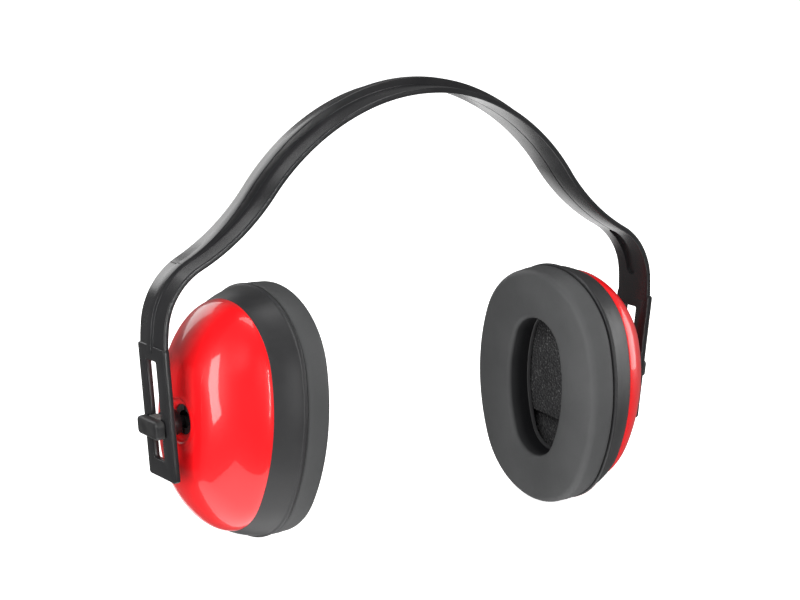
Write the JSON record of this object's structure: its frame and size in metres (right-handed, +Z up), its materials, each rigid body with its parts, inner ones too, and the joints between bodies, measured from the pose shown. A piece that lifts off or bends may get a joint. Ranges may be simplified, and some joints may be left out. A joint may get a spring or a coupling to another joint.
{
  "type": "earmuff hearing protector",
  "caption": "Over-head earmuff: one-piece slotted plastic band with red ear cups on sliding ball studs and soft sealing cushions.",
  "frame": {"origin": "middle of the ear axis, halfway between the two ear cushions", "axes": "+X to the wearer's right along the ear axis, +Y forward, +Z up to the crown of the band"},
  "size_m": [0.238, 0.0809, 0.1833],
  "materials": {
    "band_plastic": "satin black injection-moulded band",
    "knob_plastic": "matt dark grey, spark-eroded texture",
    "stud_plastic": "satin black turned-looking plastic",
    "seat_nylon": "plain black nylon",
    "shell_red": "high-gloss red ABS",
    "ring_plastic": "matt black with a glossier rim edge",
    "cushion_vinyl": "soft dark grey vinyl",
    "cushion_core": "open-cell foam",
    "liner_foam": "coarse black open-cell foam",
    "inner_plastic": "plain black plastic"
  },
  "bodies": {
    "band": {"headband": "band_plastic"},
    "left_slider": {"left_slider_knob": "knob_plastic"},
    "left_stud": {"left_ball_stud": "stud_plastic"},
    "left_seat": {"left_ball_seat": "seat_nylon"},
    "left_cup": {"left_cup_shell": "shell_red", "left_socket_cap": "inner_plastic", "left_seat_ring": "ring_plastic", "left_cushion_backplate": "inner_plastic", "left_cushion_foam": "cushion_core", "left_cushion_cover": "cushion_vinyl", "left_acoustic_liner": "liner_foam", "left_acoustic_pad": "liner_foam"},
    "right_slider": {"right_slider_knob": "knob_plastic"},
    "right_stud": {"right_ball_stud": "stud_plastic"},
    "right_seat": {"right_ball_seat": "seat_nylon"},
    "right_cup": {"right_cup_shell": "shell_red", "right_socket_cap": "inner_plastic", "right_seat_ring": "ring_plastic", "right_cushion_backplate": "inner_plastic", "right_cushion_foam": "cushion_core", "right_cushion_cover": "cushion_vinyl", "right_acoustic_liner": "liner_foam", "right_acoustic_pad": "liner_foam"}
  },
  "joints": [
    {"name": "left_height", "type": "slide", "parent": "band", "child": "left_slider", "axis": [-0.1002, 0, 0.995], "range_m": [-0.0093, 0.0125]},
    {"name": "left_turn", "type": "hinge", "parent": "left_slider", "child": "left_stud", "pos_m": [-0.0997, 0.001, 0.00235], "axis": [-0.995, 0, -0.1002], "range_deg": [-90, 90]},
    {"name": "left_tilt", "type": "hinge", "parent": "left_stud", "child": "left_seat", "pos_m": [-0.0997, 0.001, 0.00235], "axis": [0, -1, 0], "range_deg": [-8, 5]},
    {"name": "left_swivel", "type": "hinge", "parent": "left_seat", "child": "left_cup", "pos_m": [-0.0997, 0.001, 0.00235], "axis": [0, 0, 1], "range_deg": [-13, 1]},
    {"name": "right_height", "type": "slide", "parent": "band", "child": "right_slider", "axis": [0.1002, 0, 0.995], "range_m": [-0.0093, 0.0125]},
    {"name": "right_turn", "type": "hinge", "parent": "right_slider", "child": "right_stud", "pos_m": [0.0997, 0.001, 0.00235], "axis": [0.995, 0, -0.1002], "range_deg": [-90, 90]},
    {"name": "right_tilt", "type": "hinge", "parent": "right_stud", "child": "right_seat", "pos_m": [0.0997, 0.001, 0.00235], "axis": [0, 1, 0], "range_deg": [-2, 11]},
    {"name": "right_swivel", "type": "hinge", "parent": "right_seat", "child": "right_cup", "pos_m": [0.0997, 0.001, 0.00235], "axis": [0, 0, 1], "range_deg": [-13, 1]}
  ]
}
